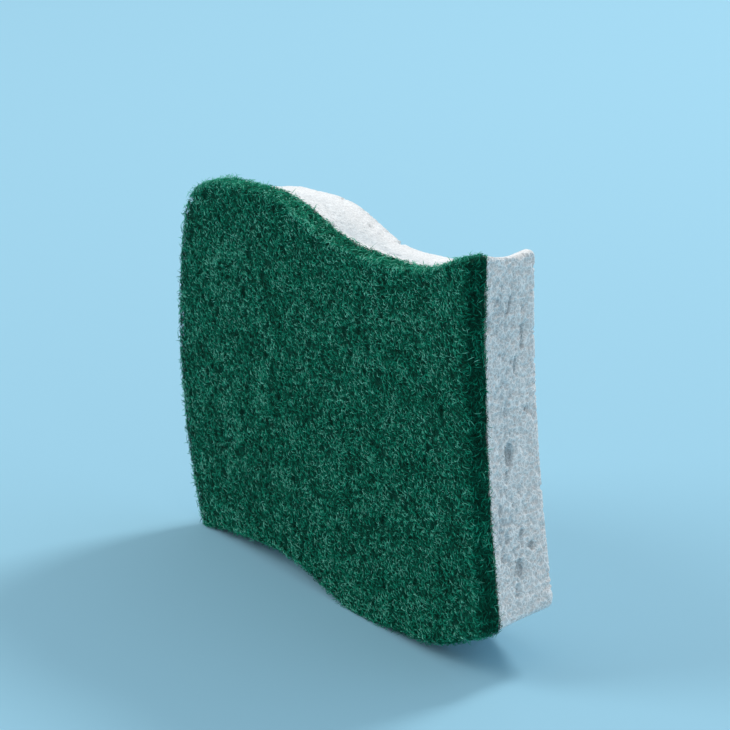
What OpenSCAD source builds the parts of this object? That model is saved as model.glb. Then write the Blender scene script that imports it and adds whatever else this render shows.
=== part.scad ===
// Two-layer cleaning sponge with wavy long sides.
// A thin nonwoven scouring pad is bonded over its whole face to a cellulose sponge block.
// It stands on its lower long side, on the left corner and on the bulge of the wave.
// X runs along the length, Z up, and the scouring face looks along -Y.

/* [Outline] */
// length between the two ends, at the corners
body_w = 110; // [80:1:150]
// height of a cut from the lower wave to the upper wave
body_h = 76; // [50:1:110]
// rise of the wave above its middle line
wave_h = 4.3; // [0:0.1:8]
// rise of the middle line from the left end to the right end
wave_climb = 1.7; // [0:0.1:4]
// share of a wavelength by which the crest is pushed to the left
wave_shift = 0.062; // [0:0.002:0.15]
// how much fuller than a plain sine the crest and the trough are
wave_full = 0.14; // [0:0.01:0.2]
// bulge of the left end at half height
left_bulge = 7.2; // [0:0.1:12]
// how much further the left end reaches at the bottom
left_reach = 1.6; // [0:0.1:4]
// hollow of the right end at half height
right_hollow = 2.4; // [0:0.1:6]
// how much lower the top of the scouring pad lies in the right half than the wave alone gives
right_sag = 0.9; // [0:0.1:3]

/* [Corners] */
// length of the long rounding at the top left, along the top
crown_run = 13; // [4:0.5:24]
// drop of the long rounding at the top left, down the end
crown_drop = 6.5; // [4:0.5:20]
// run of the small rounding at the other three corners
corner_run = 2; // [1:0.5:8]

/* [Scouring pad] */
// thickness of the fibre web
pad_t = 5.2; // [3:0.1:10]
// soft rounding of the rim of the scouring face
pad_rim = 1; // [0.2:0.1:2]

/* [Sponge block] */
// thickness of the cellulose block
sponge_t = 14.8; // [10:0.1:40]
// how much lower the top is at the wiping face than at the glued face
top_draft = 4; // [0:0.1:6]
// how much shorter the right end is at the wiping face than at the glued face, at the bottom
right_draft_low = 5; // [0:0.1:8]
// the same at the top
right_draft_high = 7.4; // [0:0.1:9]
// how far the lower right corner of the wiping face has curled up
right_curl_low = 1.5; // [0:0.1:5]
// the same for the upper one
right_curl_high = 0.7; // [0:0.1:5]
// how deep the top is hollowed between its two edges, where the cut pressed the foam
top_dip = 0.7; // [0:0.1:2]
// soft rounding of the rim of the wiping face
sponge_rim = 0.5; // [0.2:0.1:2]

/* [Pores] */
// spacing of the open pores
pore_pitch = 11.4; // [8:0.2:18]
// radius of the smallest open pore
pore_r_min = 0.7; // [0.3:0.1:1.2]
// radius of the largest open pore
pore_r_max = 2.3; // [1:0.1:2.6]

/* [Hidden] */
total_t = pad_t + sponge_t;
glue_y = pad_t - total_t / 2;
wave_points = 26;
end_points = 10;
corner_points = 4;
pore_seed = 7;
// shares of the length at which the sag begins and over which it reaches its depth
sag_start = 0.56;
sag_run = 0.14;
// a pore's centre lies this share of its radius under the surface
sunk_share = 0.25;
// the left end has smaller pores than the wiping face
wall_share = 0.75;
// share of the pores that are elongated, and how far they are drawn out to each side,
// as a share of their radius
long_share = 0.2;
long_step = 0.9;
// long pores of the two ends lean this far from upright, towards the wiping face
grain_lean = 22;
grain = [0, sin(grain_lean), cos(grain_lean)];
// open pores of the right end: [share of the height, share of the thickness, radius, drawn out]
end_pores = [
    [0.87, 0.25, 0.7, 0],
    [0.86, 0.51, 0.8, 1.2],
    [0.76, 0.78, 1.0, 1.5],
    [0.69, 0.62, 0.9, 0.9],
    [0.57, 0.39, 0.6, 0.9],
    [0.56, 0.18, 0.5, 0],
    [0.45, 0.42, 1.6, 0.35],
    [0.40, 0.37, 0.6, 0.2],
    [0.31, 0.19, 0.6, 0.9],
    [0.23, 0.57, 0.8, 0.3],
    [0.23, 0.28, 0.6, 0.9],
    [0.18, 0.21, 0.6, 0.5],
    [0.14, 0.48, 1.3, 0.4],
    [0.09, 0.40, 0.8, 0]
];
pore_sides = 8;
pad_colour = [0.07, 0.31, 0.25];
sponge_colour = [0.91, 0.91, 0.89];

// height of the wave at share s of the length
function phase(s) = 360 * (s - 0.5 + wave_shift);
function wave(s) =
    wave_climb * (s - 0.5) - wave_h * (sin(phase(s)) + wave_full * sin(3 * phase(s)));

// the two ends at share h of the height, from 0 at the bottom to 1 at the top
function bow(h) = 1 - pow(2 * h - 1, 2);
function left_x(h) = -body_w / 2 - left_bulge * bow(h) - left_reach * pow(1 - h, 2);
function right_x(h) = body_w / 2 - right_hollow * bow(h);
function mix(a, b, t) = a + (b - a) * t;

// how far the block's right half has curled up at share s of the length and h of the height
function curl(s, h) = mix(right_curl_low, right_curl_high, h) * max(0, 2 * s - 1);

// how far the top of the pad has sunk at share s of the length
function sag(s) = right_sag * min(1, max(0, (s - sag_start) / sag_run));

// a point of the flat outline at share s of the length and h of the height,
// with share "free" of the block's drafts and curl, and "inset" in from every side
function place(s, h, free, inset) =
    let (right_draft = mix(right_draft_low, right_draft_high, h))
    let (x = mix(left_x(h) + inset, right_x(h) - free * right_draft - inset, s))
    let (lower = mix(sag(s), top_draft, free) + 4 * top_dip * free * (1 - free))
    let (low = -body_h / 2 + inset, high = body_h / 2 - lower - inset)
    [x, mix(low, high, h) + wave(s) + free * curl(s, h)];

// a corner from point a to point b, drawn towards the sharp corner c
function rounded(a, c, b) = [
    for (i = [0 : corner_points])
        let (t = i / corner_points)
        (1 - t) * (1 - t) * a + 2 * t * (1 - t) * c + t * t * b
];

// the closed outline, anticlockwise from the bottom left
function outline(free, inset) =
    let (run = corner_run / body_w, rise = corner_run / body_h)
    let (long = crown_run / body_w, drop = crown_drop / body_h)
    let (at = function (s, h) place(s, h, free, inset))
    concat(
        rounded(at(0, rise), at(0, 0), at(run, 0)),
        [for (i = [1 : wave_points - 1]) at(mix(run, 1 - run, i / wave_points), 0)],
        rounded(at(1 - run, 0), at(1, 0), at(1, rise)),
        [for (i = [1 : end_points - 1]) at(1, mix(rise, 1 - rise, i / end_points))],
        rounded(at(1, 1 - rise), at(1, 1), at(1 - run, 1)),
        [for (i = [1 : wave_points - 1]) at(mix(1 - run, long, i / wave_points), 1)],
        rounded(at(long, 1), at(0, 1), at(0, 1 - drop)),
        [for (i = [1 : end_points - 1]) at(0, mix(1 - drop, rise, i / end_points))]
    );

// the slab is turned until the left corner and the bulge of the wave share one floor line
glued = outline(0, 0);
foot = [for (p = concat(glued, outline(1, 0))) if (p.y < 0) p];
left_foot = [for (p = foot) if (p.x < -body_w / 4) p];
right_foot = [for (p = foot) if (p.x > -body_w / 8) p];
lean = -max([for (p = left_foot) min([for (q = right_foot) atan2(q.y - p.y, q.x - p.x)])]);

function turned(p) = [p.x * cos(lean) - p.y * sin(lean), p.x * sin(lean) + p.y * cos(lean)];
stood = [for (p = glued) turned(p)];
floor_z = min([for (p = foot) turned(p).y]);
middle_x = (min([for (p = stood) p.x]) + max([for (p = stood) p.x])) / 2;

// a flat point set up at depth y, on the floor
function upright(p, y) = let (q = turned(p)) [q.x - middle_x, y, q.y - floor_z];

// a rim is [depth, share of the drafts, inset], and the shell runs from the first to the last
function rim_points(rim) = [for (p = outline(rim[1], rim[2])) upright(p, rim[0])];

module shell(rims) {
    n = len(glued);
    last = (len(rims) - 1) * n;
    polyhedron(
        points = [for (rim = rims) each rim_points(rim)],
        faces = concat(
            [[for (i = [n - 1 : -1 : 0]) i]],
            [
                for (k = [0 : len(rims) - 2], i = [0 : n - 1], half = [0, 1])
                    let (a = k * n + i, b = k * n + (i + 1) % n)
                    half == 0 ? [a, b, b + n] : [a, b + n, a + n]
            ],
            [[for (i = [0 : n - 1]) last + i]]
        )
    );
}

// the fibre web: its scouring face has a soft rim, its glued face is cut square
module scouring_pad() {
    face_y = -total_t / 2;
    color(pad_colour)
        shell([
            [face_y, 0, pad_rim],
            [face_y + 0.3 * pad_rim, 0, 0.35 * pad_rim],
            [face_y + pad_rim, 0, 0],
            [glue_y, 0, 0]
        ]);
}

// one open pore, sunk along "into" and drawn out both ways along "grain_way"
module pore(at, into, r, drawn, grain_way) {
    hull()
        for (side = [-1, 1])
            translate(at + r * (sunk_share * into + side * drawn * grain_way))
                sphere(r = r, $fn = pore_sides);
}

// pores as [share across, share up, radius, drawn out], one in each cell of a shaken grid
function shaken(across, up, seed) =
    let (n = across * up)
    let (dx = rands(-0.25, 0.25, n, seed), dy = rands(-0.25, 0.25, n, seed + 1))
    let (size = rands(0, 1, n, seed + 2), kind = rands(0, 1, n, seed + 3))
    [
        for (j = [0 : up - 1], i = [0 : across - 1])
            let (k = j * across + i)
            let (r = mix(pore_r_min, pore_r_max, size[k] * size[k]))
            [(i + 0.5 + dx[k]) / across, (j + 0.5 + dy[k]) / up, r, kind[k] < long_share ? long_step : 0]
    ];

// a point on the block at share s of the length, h of the height and d of the thickness
function on_block(s, h, d) =
    upright(place(s, h, d, 0), glue_y + d * sponge_t);

cells_long = floor(body_w / pore_pitch);
cells_high = floor(body_h / pore_pitch);
cells_deep = max(1, round(sponge_t / pore_pitch));

// the wiping face and the left end; the long sides are cut smooth and show no pores
module plain_pores() {
    for (p = shaken(cells_long, cells_high, pore_seed))
        let (turn = 360 * p[0] * cells_long)
            pore(on_block(p[0], p[1], 1), [0, -1, 0], p[2], p[3], [cos(turn), 0, sin(turn)]);
    for (p = shaken(cells_deep, cells_high, pore_seed + 30))
        pore(on_block(0, p[1], p[0]), [1, 0, 0], wall_share * p[2], p[3], grain);
}

// the block: its wiping face is a little smaller than its glued face
module cellulose_sponge() {
    face_y = total_t / 2;
    rim_y = face_y - sponge_rim;
    color(sponge_colour)
        difference() {
            shell([
                for (free = [0 : 0.25 : 1]) [mix(glue_y, rim_y, free), free, 0],
                [face_y, 1, sponge_rim]
            ]);
            plain_pores();
            for (p = end_pores)
                pore(on_block(1, p[0], p[1]), [-1, 0, 0], p[2], p[3], grain);
        }
}

scouring_pad();
cellulose_sponge();
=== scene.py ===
import math

import bpy
import numpy as np
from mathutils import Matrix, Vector
from mathutils.bvhtree import BVHTree


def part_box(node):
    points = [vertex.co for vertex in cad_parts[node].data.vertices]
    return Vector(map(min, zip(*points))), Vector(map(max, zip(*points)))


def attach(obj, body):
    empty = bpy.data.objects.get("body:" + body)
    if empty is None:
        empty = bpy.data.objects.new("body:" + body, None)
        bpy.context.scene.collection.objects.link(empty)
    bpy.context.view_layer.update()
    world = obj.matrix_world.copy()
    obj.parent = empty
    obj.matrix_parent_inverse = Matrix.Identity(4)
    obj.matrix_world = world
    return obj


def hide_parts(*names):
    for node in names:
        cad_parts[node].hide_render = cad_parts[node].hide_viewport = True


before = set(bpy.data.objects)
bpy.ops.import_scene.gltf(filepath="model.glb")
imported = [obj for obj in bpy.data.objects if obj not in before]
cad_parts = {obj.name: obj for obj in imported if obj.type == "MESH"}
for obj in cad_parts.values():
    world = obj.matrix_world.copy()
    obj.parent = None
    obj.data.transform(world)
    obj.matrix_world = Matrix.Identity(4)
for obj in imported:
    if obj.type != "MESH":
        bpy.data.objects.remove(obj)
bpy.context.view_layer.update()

# Lengths are in metres and angles in degrees, unless a comment says otherwise
MM = 0.001
SEED = 11

# Camera, fitted to the outlines in the photograph, with its lens and sensor in millimetres
VIEW_AZIMUTH = 59.0
VIEW_ELEVATION = 17.2
VIEW_DISTANCE = 0.8865
VIEW_AIM = Vector((0.0030, -0.0013, 0.0488))
SENSOR = 36.0
LENS = 216.7
NEAREST_SEEN = 0.01

# Stage
FLOOR_SIZE = 8.0
SKY_STRENGTH = 0.63

# The glue lies between the two layers, and the block runs from there to the wiping face
GLUE_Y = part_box("scouring_pad")[1].y
BLOCK_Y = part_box("cellulose_sponge")[1].y - GLUE_Y
# points closer than this are one point
SAME_POINT = 0.001 * MM
# both layers stop this far above the floor, so that no face lies in its plane
FLOOR_GAP = 0.05 * MM

# Inside of the scouring web
CORE_VOXEL = 1.0 * MM
CORE_SINK = 0.55 * MM
# lumps in its surface, and the texture's value at which it stays where it is
LUMP_SIZE = 1.6 * MM
LUMP_HEIGHT = 0.7 * MM
LUMP_LEVEL = 0.6
# places where the fibres leave the inside open to view
HOLES = 130
HOLE_RADIUS = 0.8 * MM

# Fibres of the scouring web: real ones are about 0.06 mm thick, drawn twice as thick so that they show
FIBRE_RADIUS = 0.062 * MM
FIBRE_SIDES = 3
LONG_FIBRE = 1.8 * MM
SHORT_FIBRE = 1.35 * MM
LONG_FIBRES = 16500
SHORT_FIBRES = 33000
SIDE_FIBRES = 18000
STRAY_FIBRES = 3500
# number of different curls, and how far a fibre turns from tip to tip, in radians
CURLS = 60
CURL_TURN = (0.2, 1.5)
# rise of a fibre's middle, dip of its tips below that and play of each point, in millimetres
MIDDLE_RISE = 0.06
TIP_DIP = 0.18
POINT_PLAY = 0.06
# length and thickness of single fibres, as shares of the usual one
LENGTH_SHARES = (0.6, 1.4)
THICKNESS_SHARES = (0.75, 1.2)
# the web was laid along the length, so more of its fibres run that way, and a little downwards
WEB_LAY = np.array([1.9, 1.0, 1.0])
WEB_SLANT = 0.25
# a few fibres are much paler than the rest, partly as painted highlights, and those facing upwards on the
# rim are painted paler, as painted light from above
PALE_FIBRES_AND_HIGHLIGHTS = 0.14
PAINTED_TOP_LIGHT = 0.3
# fibres of the pad's edge reach at most this far over the block
OVER_BLOCK = 1.1 * MM
# how much of a normal points out along Y: at least this on the scouring face and its rounded rim,
# at most this on the cut sides
FACE_FROM = 0.3
SIDES_TO = 0.9
# stray fibres around the rim: on all of it, added at the left end, and fewer along the top
RIM_STRAYS = 0.5
LEFT_STRAYS = 0.5
TOP_STRAYS = 0.35

# Cellulose block
BLOCK_VOXEL = 0.28 * MM
BLOCK_TRIANGLES = 190000
# faces of the glued side: how near the glue they lie, and how straight they look at it
GLUE_MARGIN = 0.5 * MM
GLUE_FACING = 0.99
# the block has shrunk a little behind the pad's edge and swells towards the wiping face,
# least on its long sides
SHRUNK = 0.35 * MM
SWOLLEN = 0.7 * MM
SWELL_SHARES = (1, 1, 0.3)
# a normal along Y has no way to shrink, so its sideways part counts as no less than this
LEAST_SIDEWAYS = 0.3
# foam cells are drawn out upwards, as the foam rose in its mould
CELL_SHAPE = np.array([1.0, 1.0, 1.15])
# a cell's centre keeps this share of its box as a margin and moves over the rest
CELL_MARGIN = 0.15
CELL_PLAY = 0.7
# open cells: spacing, smallest and largest radius, the most that they sink the surface, and seed
SMALL_CELLS = (0.95 * MM, (0.3 * MM, 0.65 * MM), 0.35 * MM, SEED + 10)
LARGE_CELLS = (5.0 * MM, (0.4 * MM, 1.7 * MM), 1.2 * MM, SEED + 11)
# boxes to spare on each side of the grid of cells
SPARE_BOXES = 2
# the cells fade out this near the glue, and most of their depth is gone on the long sides,
# which are cut smoother than the rest
CELL_FADE = 0.6 * MM
CUT_AWAY = 0.8
# a skin of voxels this large closes every pore, and this far below it the painted shade in the hollows is
# deepest
SKIN_VOXEL = 4.0 * MM
PAINTED_SHADE_DEPTH = 0.7 * MM


def hex_colour(text):
    """Turn an sRGB hex colour into the linear colour that a shader reads."""
    parts = [int(text[i:i + 2], 16) / 255 for i in (1, 3, 5)]
    linear = [p / 12.92 if p <= 0.04045 else ((p + 0.055) / 1.055) ** 2.4 for p in parts]
    return (*linear, 1.0)


def add(tree, kind, inputs=None, stops=(), **settings):
    """Add a node with its settings, give each input a value or a link, and a ramp its coloured stops."""
    made = tree.nodes.new(kind)
    for name, value in settings.items():
        setattr(made, name, value)
    for name, value in (inputs or {}).items():
        if isinstance(value, bpy.types.NodeSocket):
            tree.links.new(value, made.inputs[name])
        else:
            made.inputs[name].default_value = value
    if stops:
        elements = made.color_ramp.elements
        elements.remove(elements[1])
        for k, (place, colour) in enumerate(stops):
            stop = elements[0] if k == 0 else elements.new(place)
            stop.position = place
            stop.color = hex_colour(colour)
    return made


def new_material(name):
    """A new material and its node tree, still empty."""
    material = bpy.data.materials.new(name)
    material.use_nodes = True
    material.node_tree.nodes.clear()
    return material, material.node_tree


# Materials

def fibre_web_material():
    """Nylon and polyester staple bonded with pigmented resin: dull deep green threads, a few much paler,
    partly as painted highlights; deeper fibres carry painted shade and the upper rim painted light.
    """
    material, tree = new_material("bonded_nylon_fibre_web")
    tone_and_painted_light = add(tree, "ShaderNodeAttribute", attribute_name="tone_and_painted_light")
    place = add(tree, "ShaderNodeTexCoord").outputs["Object"]
    # patches of denser and thinner web, about 8 mm and 2 mm across
    patches = add(tree, "ShaderNodeTexNoise", {"Vector": place, "Scale": 120.0, "Detail": 1.0})
    clumps = add(tree, "ShaderNodeTexNoise", {"Vector": place, "Scale": 480.0, "Detail": 1.0})
    both = add(tree, "ShaderNodeMath", {0: patches.outputs["Fac"], 1: clumps.outputs["Fac"]},
               operation="ADD")
    spread = add(tree, "ShaderNodeMath", {0: both.outputs[0], 1: 1.0}, operation="SUBTRACT")
    patchiness = 0.55
    shade = add(tree, "ShaderNodeMath", {0: spread.outputs[0], 1: patchiness, 2: tone_and_painted_light.outputs["Fac"]},
                operation="MULTIPLY_ADD")
    green = add(tree, "ShaderNodeValToRGB", {"Fac": shade.outputs[0]},
                stops=[(0.0, "#003022"), (0.3, "#006149"), (0.6, "#059674"), (0.8, "#34b894"),
                       (1.0, "#80dabf")])
    shader = add(tree, "ShaderNodeBsdfPrincipled",
                 {"Base Color": green.outputs["Color"], "Roughness": 0.6, "IOR": 1.5,
                  "Specular IOR Level": 0.12})
    add(tree, "ShaderNodeOutputMaterial", {"Surface": shader.outputs[0]})
    return material


def web_core_material():
    """The inside of the same web, seen between the outer fibres: painted dark as the shade deep in the web,
    matt, and strands still show.
    """
    material, tree = new_material("web_inside_painted_shade")
    place = add(tree, "ShaderNodeTexCoord").outputs["Object"]
    # strands about 0.8 mm apart, drawn coarser than the real ones so that they show
    strands = add(tree, "ShaderNodeTexNoise",
                  {"Vector": place, "Scale": 1300.0, "Detail": 3.0, "Distortion": 2.5})
    # painted shade: the inside is coloured as dark as the shaded depths of the web
    green = add(tree, "ShaderNodeValToRGB", {"Fac": strands.outputs["Fac"]},
                stops=[(0.35, "#003226"), (0.55, "#014a39"), (0.75, "#056350")])
    bump = add(tree, "ShaderNodeBump",
               {"Height": strands.outputs["Fac"], "Strength": 0.7, "Distance": 0.3 * MM})
    shader = add(tree, "ShaderNodeBsdfPrincipled",
                 {"Base Color": green.outputs["Color"], "Roughness": 0.85, "IOR": 1.5,
                  "Specular IOR Level": 0.15, "Normal": bump.outputs[0]})
    add(tree, "ShaderNodeOutputMaterial", {"Surface": shader.outputs[0]})
    return material


def cellulose_material():
    """Regenerated cellulose foam, bleached: matt and white, with thin walls that let a little light in;
    painted shade darkens its hollows and the bottoms of its finest cells.
    """
    material, tree = new_material("bleached_cellulose_foam")
    hollow = add(tree, "ShaderNodeAttribute", attribute_name="hollow")
    place = add(tree, "ShaderNodeTexCoord").outputs["Object"]
    # the finest cells, 0.9 mm across and drawn out upwards, are too fine for the mesh
    drawn = add(tree, "ShaderNodeMapping", {"Vector": place, "Scale": (1.0, 1.0, 0.9)})
    stray = add(tree, "ShaderNodeTexNoise", {"Vector": place, "Scale": 1500.0, "Detail": 1.0})
    uneven = add(tree, "ShaderNodeVectorMath", {0: stray.outputs["Color"], "Scale": 0.5 * MM},
                 operation="SCALE")
    at = add(tree, "ShaderNodeVectorMath", {0: drawn.outputs[0], 1: uneven.outputs[0]}, operation="ADD")
    cells = add(tree, "ShaderNodeTexVoronoi", {"Vector": at.outputs[0], "Scale": 1150.0},
                feature="DISTANCE_TO_EDGE")
    walls = add(tree, "ShaderNodeMapRange",
                {"Value": cells.outputs["Distance"], "From Max": 0.2, "To Min": 1.0, "To Max": 0.0},
                interpolation_type="SMOOTHSTEP")
    # the torn walls themselves are rough, at 0.3 mm
    grain = add(tree, "ShaderNodeTexNoise", {"Vector": place, "Scale": 3500.0, "Detail": 1.0})
    grain_height = 0.5
    height = add(tree, "ShaderNodeMath", {0: grain.outputs["Fac"], 1: grain_height, 2: walls.outputs[0]},
                 operation="MULTIPLY_ADD")
    # painted shade and painted cool bounce light: the white turns darker and bluer the deeper a point lies
    # in the hollows
    white = add(tree, "ShaderNodeValToRGB", {"Fac": hollow.outputs["Fac"]},
                stops=[(0.0, "#fdfdfc"), (0.4, "#f3f5f5"), (0.75, "#dde4e7"), (1.0, "#d7dee1")])
    # painted shade darkens the bottoms of the finest cells, but hardly so on the smooth-cut long sides
    smooth = add(tree, "ShaderNodeAttribute", attribute_name="cut_smooth")
    cell_bottom_shade, smooth_gain = 0.7, 0.15
    darkest_cell_shade = add(tree, "ShaderNodeMath", {0: smooth.outputs["Fac"], 1: smooth_gain, 2: cell_bottom_shade},
                  operation="MULTIPLY_ADD")
    painted_cell_shade = add(tree, "ShaderNodeMapRange",
               {"Value": height.outputs[0], "From Min": 0.2, "From Max": 1.2,
                "To Min": darkest_cell_shade.outputs[0], "To Max": 1.02})
    colour = add(tree, "ShaderNodeVectorMath", {0: white.outputs["Color"], "Scale": painted_cell_shade.outputs[0]},
                 operation="SCALE")
    bump = add(tree, "ShaderNodeBump",
               {"Height": height.outputs[0], "Strength": 0.7, "Distance": 0.15 * MM})
    shader = add(tree, "ShaderNodeBsdfPrincipled",
                 {"Base Color": colour.outputs[0], "Roughness": 0.8, "IOR": 1.47,
                  "Normal": bump.outputs[0], "Subsurface Weight": 0.15,
                  "Subsurface Radius": (1.0, 0.95, 0.9), "Subsurface Scale": 0.8 * MM})
    add(tree, "ShaderNodeOutputMaterial", {"Surface": shader.outputs[0]})
    return material


def floor_material():
    """Coloured paper sweep: matt, pale and slightly cool."""
    material, tree = new_material("matt_paper")
    shader = add(tree, "ShaderNodeBsdfPrincipled",
                 {"Base Color": hex_colour("#95c7dc"), "Roughness": 0.9})
    add(tree, "ShaderNodeOutputMaterial", {"Surface": shader.outputs[0]})
    return material


# Modelling helpers

def new_object(name, data):
    """A new object in the scene."""
    made = bpy.data.objects.new(name, data)
    bpy.context.scene.collection.objects.link(made)
    return made


def pick(piece):
    """Make one piece the only selected and active one."""
    bpy.ops.object.select_all(action="DESELECT")
    piece.select_set(True)
    bpy.context.view_layer.objects.active = piece


def apply_modifier(piece, kind, **settings):
    """Add a modifier with its settings and apply it."""
    pick(piece)
    modifier = piece.modifiers.new(kind.lower(), kind)
    for name, value in settings.items():
        setattr(modifier, name, value)
    bpy.ops.object.modifier_apply(modifier=modifier.name)


def copy_node(node, name):
    """A copy of a CAD node as a piece of its own, with its loose triangles merged."""
    piece = new_object(name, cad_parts[node].data.copy())
    piece.data.name = name
    piece.data.materials.clear()
    pick(piece)
    bpy.ops.object.mode_set(mode="EDIT")
    bpy.ops.mesh.select_all(action="SELECT")
    bpy.ops.mesh.remove_doubles(threshold=SAME_POINT)
    bpy.ops.object.mode_set(mode="OBJECT")
    return piece


def read_vectors(items, field):
    """One vector of each item, as an array with a row for each."""
    values = np.empty(len(items) * 3)
    items.foreach_get(field, values)
    return values.reshape(-1, 3)


def points_of(mesh):
    """The mesh's points."""
    return read_vectors(mesh.vertices, "co")


def normals_of(mesh):
    """The normal at each of the mesh's points."""
    return read_vectors(mesh.vertex_normals, "vector")


def write_points(mesh, points):
    """Move the mesh's points to new places."""
    mesh.vertices.foreach_set("co", points.ravel())
    mesh.update()


def write_attribute(mesh, name, values):
    """Keep one number for each point, for a material to read."""
    layer = mesh.attributes.new(name, "FLOAT", "POINT")
    layer.data.foreach_set("value", np.asarray(values, dtype=np.float32))


def distance_to_holes(points, holes):
    """How far each point is from the nearest open place in the web."""
    return np.linalg.norm(points[:, None, :] - holes[None, :, :], axis=2).min(axis=1)


def finish_piece(piece, material):
    """Give a piece its material and slot, and let it ride with the sponge."""
    piece.data.materials.clear()
    piece.data.materials.append(material)
    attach(piece, "root")


# Cellulose block

def cut_smooth(normals):
    """How smooth the surface is cut: 1 on the long sides, next to nothing on the ends and faces."""
    return normals[:, 2] ** 4


def open_cells(points, normals, cells):
    """How deep open cells sink each surface point: one round cell in each box of a shaken grid."""
    pitch, (smallest, largest), most, seed = cells
    low = points.min(axis=0) / CELL_SHAPE - SPARE_BOXES * pitch
    reach = np.ptp(points, axis=0) / CELL_SHAPE / pitch
    boxes = np.ceil(reach).astype(int) + 2 * SPARE_BOXES + 1
    shaken = np.random.default_rng(seed).random((*boxes, 4))
    at = points / CELL_SHAPE
    home = np.floor((at - low) / pitch).astype(int)
    deepest = np.zeros(len(points))
    # a cell may reach into the boxes around its own
    for step in np.ndindex(3, 3, 3):
        box = home + np.array(step) - 1
        shake = shaken[tuple(box.T)]
        away = at - low - (box + CELL_MARGIN + CELL_PLAY * shake[:, :3]) * pitch
        radius = smallest + (largest - smallest) * shake[:, 3] ** 2
        inward = -(away * normals).sum(axis=1)
        under = radius ** 2 - (away ** 2).sum(axis=1)
        depth = np.sqrt(np.maximum(inward ** 2 + under, 0)) - inward
        deepest = np.maximum(deepest, np.where(under > 0, depth, 0))
    return np.minimum(deepest, most)


def block_skin():
    """The block without its pores and cells, to measure the depth of the painted shade in hollows from."""
    skin = copy_node("cellulose_sponge", "block_skin")
    apply_modifier(skin, "REMESH", mode="VOXEL", voxel_size=SKIN_VOXEL)
    faces = [tuple(face.vertices) for face in skin.data.polygons]
    tree = BVHTree.FromPolygons(points_of(skin.data).tolist(), faces)
    bpy.data.objects.remove(skin)
    return tree


def depth_under(skin, point):
    """How deep a point lies under the skin."""
    near, normal, _, _ = skin.find_nearest(point)
    return (near - Vector(point)).dot(normal)


def flatten_glued_side(piece):
    """Make the hidden glued side one flat face."""
    pick(piece)
    for face in piece.data.polygons:
        face.select = face.normal.y < -GLUE_FACING and face.center.y < GLUE_Y + GLUE_MARGIN
    bpy.ops.object.mode_set(mode="EDIT")
    bpy.ops.mesh.select_mode(type="FACE")
    bpy.ops.mesh.delete(type="FACE")
    bpy.ops.mesh.select_mode(type="EDGE")
    bpy.ops.mesh.select_non_manifold()
    bpy.ops.mesh.edge_face_add()
    bpy.ops.object.mode_set(mode="OBJECT")


def make_block(material):
    """The block from its CAD solid: remeshed finely, then every open side gets foam cells."""
    piece = copy_node("cellulose_sponge", "cellulose_block")
    apply_modifier(piece, "REMESH", mode="VOXEL", voxel_size=BLOCK_VOXEL, use_smooth_shade=True)
    flatten_glued_side(piece)

    mesh = piece.data
    points, normals = points_of(mesh), normals_of(mesh)
    share = np.clip((points[:, 1] - GLUE_Y) / BLOCK_Y, 0, 1)
    small = open_cells(points, normals, SMALL_CELLS)
    large = open_cells(points, normals, LARGE_CELLS)
    depth = np.maximum(small, large) * (1 - CUT_AWAY * cut_smooth(normals))
    free = np.clip(share * BLOCK_Y / CELL_FADE, 0, 1)
    sideways = normals * (1, 0, 1)
    sideways /= np.maximum(np.linalg.norm(sideways, axis=1), LEAST_SIDEWAYS)[:, None]
    swell = SWOLLEN * (share ** 2)[:, None] * normals * SWELL_SHARES
    shrink = SHRUNK * (1 - share ** 2)[:, None] * sideways
    write_points(mesh, points + swell - shrink - normals * (free * depth)[:, None])
    mesh.calc_loop_triangles()
    apply_modifier(piece, "DECIMATE", ratio=BLOCK_TRIANGLES / len(mesh.loop_triangles))

    points = points_of(mesh)
    points[:, 2] = np.maximum(points[:, 2], FLOOR_GAP)
    write_points(mesh, points)
    skin = block_skin()
    depth = np.array([depth_under(skin, point) for point in points])
    # painted shade: the deeper a point lies under the skin, the darker and cooler its white
    write_attribute(mesh, "hollow", np.clip(depth / PAINTED_SHADE_DEPTH, 0, 1))
    write_attribute(mesh, "cut_smooth", cut_smooth(normals_of(mesh)))
    finish_piece(piece, material)
    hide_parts("cellulose_sponge")


# Scouring web

def on_face(normal):
    """The scouring face and its rounded rim."""
    return normal[:, 1] < -FACE_FROM


def on_sides(normal):
    """The narrow sides of the pad, where it was cut."""
    return np.abs(normal[:, 1]) < SIDES_TO


def around(normal):
    """The rim, where fibres stray outwards: most at the left end, fewest along the top."""
    leftwards = np.clip(-normal[:, 0], 0, 1)
    upwards = np.clip(normal[:, 2], 0, 1)
    return on_sides(normal) * (RIM_STRAYS + LEFT_STRAYS * leftwards - TOP_STRAYS * upwards)


# Layers of fibres: name, where they lie, depths from and to (minus is inwards), tilt in radians,
# tones from and to (they rise with the depth, as painted shade on the deeper fibres, and stay low on the
# cut sides as painted shade there), number, length, and rings between the two tips
FIBRE_LAYERS = [
    ("web_fibres_under", on_face, (-0.7 * MM, -0.4 * MM), 0.1, (0.0, 0.3),
     LONG_FIBRES, LONG_FIBRE, 2),
    ("web_fibres_middle", on_face, (-0.5 * MM, -0.15 * MM), 0.15, (0.1, 0.5),
     SHORT_FIBRES, SHORT_FIBRE, 1),
    ("web_fibres_outer", on_face, (-0.3 * MM, 0.05 * MM), 0.15, (0.45, 0.95),
     SHORT_FIBRES, SHORT_FIBRE, 1),
    ("web_fibres_sides", on_sides, (-0.5 * MM, 0.1 * MM), 0.3, (0.0, 0.4),
     SIDE_FIBRES, SHORT_FIBRE, 1),
    ("web_fibres_stray", around, (-0.2 * MM, 0.5 * MM), 0.6, (0.3, 0.7),
     STRAY_FIBRES, LONG_FIBRE, 2),
]


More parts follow.
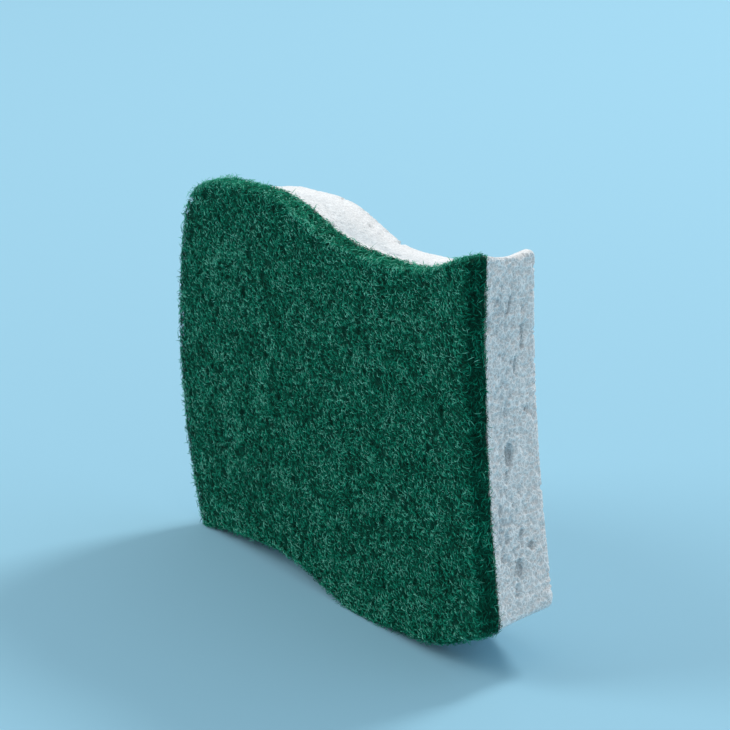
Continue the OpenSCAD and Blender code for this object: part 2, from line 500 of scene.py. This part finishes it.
def scatter(base, rng, count, keep):
    """Seeded points over the faces of a mesh, as close together as "keep" weighs each face."""
    mesh = base.data
    mesh.calc_loop_triangles()
    corners = np.empty(len(mesh.loop_triangles) * 3, dtype=np.int32)
    mesh.loop_triangles.foreach_get("vertices", corners)
    a, b, c = points_of(mesh)[corners.reshape(-1, 3)].transpose(1, 0, 2)
    cross = np.cross(b - a, c - a)
    area = np.linalg.norm(cross, axis=1) / 2
    normal = cross / np.maximum(2 * area[:, None], 1e-12)
    area = area * keep(normal)
    chosen = rng.choice(len(area), count, p=area / area.sum())
    u, v = rng.random(count), rng.random(count)
    flip = u + v > 1
    u[flip], v[flip] = 1 - u[flip], 1 - v[flip]
    at = a[chosen] + u[:, None] * (b - a)[chosen] + v[:, None] * (c - a)[chosen]
    return at, normal[chosen]


def make_core(material, holes):
    """The inside of the web: the pad's solid, sunk a little and lumpy, and deeper at the open places."""
    piece = copy_node("scouring_pad", "scouring_web_core")
    apply_modifier(piece, "REMESH", mode="VOXEL", voxel_size=CORE_VOXEL, use_smooth_shade=True)
    mesh = piece.data
    points, normals = points_of(mesh), normals_of(mesh)
    # over the last millimetre before the glue nothing sinks
    open_side = np.clip((GLUE_Y - points[:, 1]) / MM, 0, 1)[:, None]
    far = distance_to_holes(points, holes)
    sink = CORE_SINK + HOLE_RADIUS * np.exp(-(far / HOLE_RADIUS) ** 2)
    write_points(mesh, points - normals * sink[:, None] * open_side)
    lumps = bpy.data.textures.new("lumps", "CLOUDS")
    lumps.noise_scale = LUMP_SIZE
    lumps.noise_depth = 3
    apply_modifier(piece, "DISPLACE", texture=lumps, texture_coords="LOCAL", strength=LUMP_HEIGHT,
                   mid_level=LUMP_LEVEL)
    points = points_of(mesh)
    points[:, 1] = np.minimum(points[:, 1], GLUE_Y)
    points[:, 2] = np.maximum(points[:, 2], FLOOR_GAP)
    write_points(mesh, points)
    finish_piece(piece, material)
    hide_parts("scouring_pad")


def fibre_curls(rng, length, rings):
    """Curled fibres lying along X, each a row of points from tip to tip."""
    curls = []
    steps = rings + 2
    for _ in range(CURLS):
        turn = rng.uniform(*CURL_TURN) * rng.choice([-1, 1])
        angles = np.linspace(-turn / 2, turn / 2, steps)
        radius = length / abs(turn)
        bow = np.c_[np.sin(angles), np.cos(angles) - np.cos(turn / 2), 0 * angles]
        line = radius * bow * np.sign(turn)
        # both tips dip back into the web
        dip = TIP_DIP * np.linspace(-1, 1, steps) ** 2
        line[:, 2] = (MIDDLE_RISE - dip + rng.uniform(-POINT_PLAY, POINT_PLAY, steps)) * MM
        line[:, :2] -= line[:, :2].mean(axis=0)
        curls.append(line)
    return np.array(curls)


def fibre_faces(count, rings):
    """The faces of all fibres: each is a tip, one or two rings across the fibre, and a tip."""
    turns = [(k, (k + 1) % FIBRE_SIDES) for k in range(FIBRE_SIDES)]
    last = rings * FIBRE_SIDES + 1
    end_ring = last - FIBRE_SIDES
    one = [(0, 1 + k, 1 + j) for k, j in turns]
    if rings == 2:
        one += [(1 + j, 1 + k, end_ring + k, end_ring + j) for k, j in turns]
    one += [(last, end_ring + j, end_ring + k) for k, j in turns]
    return [tuple(i + k * (last + 1) for i in face) for k in range(count) for face in one]


def make_fibres(base, material, holes, seed, name, keep, depths, tilt, tones, count, length, rings):
    """A layer of bonded fibres: slim closed tubes of 6 or 12 triangles, each set and turned at random."""
    rng = np.random.default_rng(seed)
    curls = fibre_curls(rng, length, rings)
    at, normal = scatter(base, rng, count, keep)
    clear = distance_to_holes(at, holes) > HOLE_RADIUS
    at, normal = at[clear], normal[clear]
    count = len(at)

    # each fibre runs along the surface, tilted a little out of it
    side = rng.normal(size=(count, 3)) * WEB_LAY
    side[:, 2] -= WEB_SLANT * side[:, 0]
    side -= (side * normal).sum(axis=1)[:, None] * normal
    side /= np.linalg.norm(side, axis=1)[:, None]
    lean = rng.normal(0, tilt, count)[:, None]
    along = side * np.cos(lean) + normal * np.sin(lean)
    out = normal * np.cos(lean) - side * np.sin(lean)
    across = np.cross(out, along)
    level = rng.uniform(0, 1, count)
    origin = at + normal * (depths[0] + (depths[1] - depths[0]) * level)[:, None]
    line = curls[rng.integers(0, len(curls), count)]
    line = line * rng.uniform(*LENGTH_SHARES, count)[:, None, None]
    centres = (origin[:, None, :] + line[:, :, :1] * along[:, None, :]
               + line[:, :, 1:2] * across[:, None, :] + line[:, :, 2:] * out[:, None, :])

    # the rings stand across the fibre
    ahead = centres[:, -1] - centres[:, 0]
    ahead /= np.linalg.norm(ahead, axis=1)[:, None]
    first = np.cross(ahead, out)
    first /= np.maximum(np.linalg.norm(first, axis=1), 1e-9)[:, None]
    second = np.cross(ahead, first)
    angle = (np.arange(FIBRE_SIDES) * 2 * math.pi / FIBRE_SIDES)[None, :, None]
    spoke = np.cos(angle) * first[:, None, :] + np.sin(angle) * second[:, None, :]
    spoke *= FIBRE_RADIUS * rng.uniform(*THICKNESS_SHARES, count)[:, None, None]
    ring_points = [centres[:, 1 + k, None] + spoke for k in range(rings)]
    points = np.concatenate([centres[:, :1], *ring_points, centres[:, -1:]], axis=1)
    points_each = points.shape[1]
    points = points.reshape(-1, 3)
    points[:, 1] = np.minimum(points[:, 1], GLUE_Y + OVER_BLOCK)
    points[:, 2] = np.maximum(points[:, 2], FLOOR_GAP)

    mesh = bpy.data.meshes.new(name)
    mesh.from_pydata(points.tolist(), [], fibre_faces(count, rings))
    mesh.shade_smooth()
    piece = new_object(name, mesh)
    # painted shade: fibres are painted darker the deeper they lie; the few paler ones are partly painted
    # highlights
    tone_and_painted_light = tones[0] + (tones[1] - tones[0]) * level + rng.exponential(PALE_FIBRES_AND_HIGHLIGHTS, count) - PALE_FIBRES_AND_HIGHLIGHTS
    # painted light: fibres facing upwards on the rim are painted paler
    tone_and_painted_light += PAINTED_TOP_LIGHT * np.clip(normal[:, 2], 0, 1)
    write_attribute(mesh, "tone_and_painted_light", np.repeat(np.clip(tone_and_painted_light, 0, 1), points_each))
    finish_piece(piece, material)


def make_web(fibre, inside):
    """The core, three layers of fibres on its face, one on the cut sides and strays around the rim."""
    base = copy_node("scouring_pad", "pad_base")
    holes, _ = scatter(base, np.random.default_rng(SEED), HOLES, on_face)
    make_core(inside, holes)
    for k, layer in enumerate(FIBRE_LAYERS):
        make_fibres(base, fibre, holes, SEED + 1 + k, *layer)
    bpy.data.objects.remove(base)


# Stage, light and camera

def make_floor():
    """The plain floor, which runs out of view on all sides."""
    bpy.ops.object.select_all(action="DESELECT")
    bpy.ops.mesh.primitive_plane_add(size=FLOOR_SIZE, location=(0, 0, 0))
    floor = bpy.context.object
    floor.name = "floor"
    floor.data.materials.append(floor_material())


def aim_at_sponge(name, data, azimuth, elevation, distance):
    """Set up a lamp or camera: azimuth 0 looks at the scouring face and 90 at the right end."""
    a, e = math.radians(azimuth), math.radians(elevation)
    back = Vector((math.sin(a) * math.cos(e), -math.cos(a) * math.cos(e), math.sin(e)))
    made = new_object(name, data)
    made.location = VIEW_AIM + back * distance
    made.rotation_euler = back.to_track_quat("Z", "Y").to_euler()
    return made


def add_lamp(name, azimuth, elevation, distance, size, watts):
    """A round soft box."""
    data = bpy.data.lights.new(name, "AREA")
    data.shape = "DISK"
    data.size = size
    data.energy = watts
    aim_at_sponge(name, data, azimuth, elevation, distance)


def make_light():
    """A soft key from behind the sponge, broad fills on the scouring face and the end, and an even sky."""
    add_lamp("key", azimuth=199, elevation=44, distance=1.3, size=0.35, watts=7.6)
    add_lamp("fill", azimuth=-35, elevation=35, distance=1.6, size=1.0, watts=10.0)
    add_lamp("end", azimuth=75, elevation=15, distance=1.6, size=1.0, watts=1.7)
    world = bpy.data.worlds.new("studio")
    world.use_nodes = True
    sky = world.node_tree.nodes["Background"]
    sky.inputs["Color"].default_value = hex_colour("#e9f2f9")
    sky.inputs["Strength"].default_value = SKY_STRENGTH
    bpy.context.scene.world = world


def make_camera():
    """The camera at the photograph's viewing angle."""
    data = bpy.data.cameras.new("camera")
    data.sensor_width = SENSOR
    data.lens = LENS
    data.clip_start = NEAREST_SEEN
    bpy.context.scene.camera = aim_at_sponge(
        "camera", data, VIEW_AZIMUTH, VIEW_ELEVATION, VIEW_DISTANCE)


make_camera()
make_light()
make_floor()
make_web(fibre_web_material(), web_core_material())
make_block(cellulose_material())
bpy.context.scene.view_settings.view_transform = "Standard"
